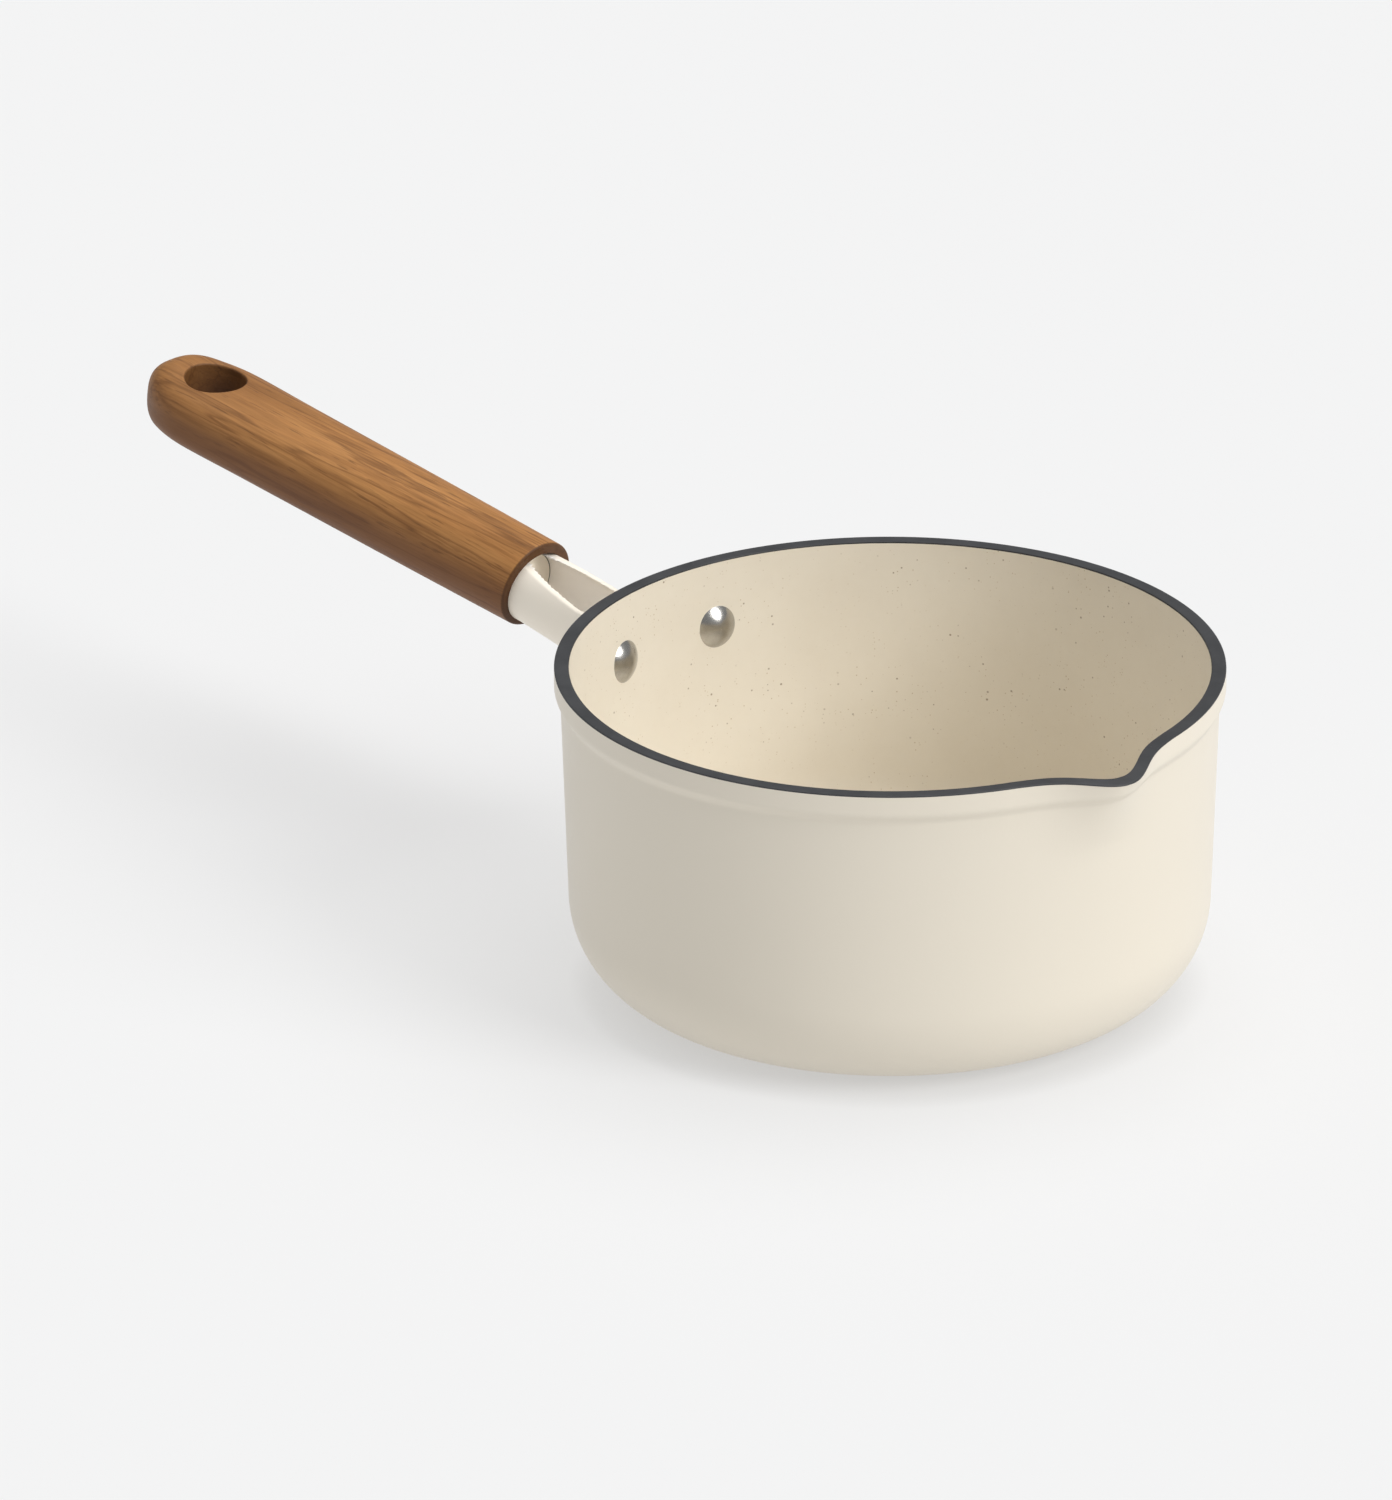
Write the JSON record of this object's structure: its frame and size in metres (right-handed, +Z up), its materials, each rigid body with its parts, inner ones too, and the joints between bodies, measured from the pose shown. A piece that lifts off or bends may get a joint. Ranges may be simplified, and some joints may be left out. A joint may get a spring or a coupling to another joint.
{
  "type": "saucepan with pouring spout",
  "caption": "Coated saucepan with a pouring spout, a dark rim, riveted steel bracket and a round wooden handle with a hanging hole.",
  "frame": {"origin": "centre of the base disc, on the surface the pan stands on", "axes": "+Z up along the pan's axis; the handle runs towards -X; the pouring spout is five degrees off +X towards -Y"},
  "size_m": [0.3987, 0.1884, 0.1055],
  "materials": {
    "aluminium_body": "cast, hidden under the coatings",
    "cream_coating": "smooth satin cream enamel",
    "speckled_lining": "smooth beige ceramic non-stick with fine dark specks",
    "dark_rim": "satin charcoal",
    "steel_disc": "spun steel",
    "cream_bracket": "smooth satin cream enamel",
    "rivet_metal": "satin domed rivet",
    "screw_steel": "plain zinc-plated screw",
    "handle_wood": "oiled mid-brown hardwood, grain along the handle"
  },
  "bodies": {
    "root": {"pan_body": "aluminium_body", "exterior_coating": "cream_coating", "ceramic_lining": "speckled_lining", "rim_band": "dark_rim", "base_disc": "steel_disc", "handle_bracket": "cream_bracket", "bracket_end_plate": "cream_bracket", "rivet_left": "rivet_metal", "rivet_right": "rivet_metal", "handle_screw": "screw_steel", "wooden_handle": "handle_wood"}
  },
  "joints": []
}
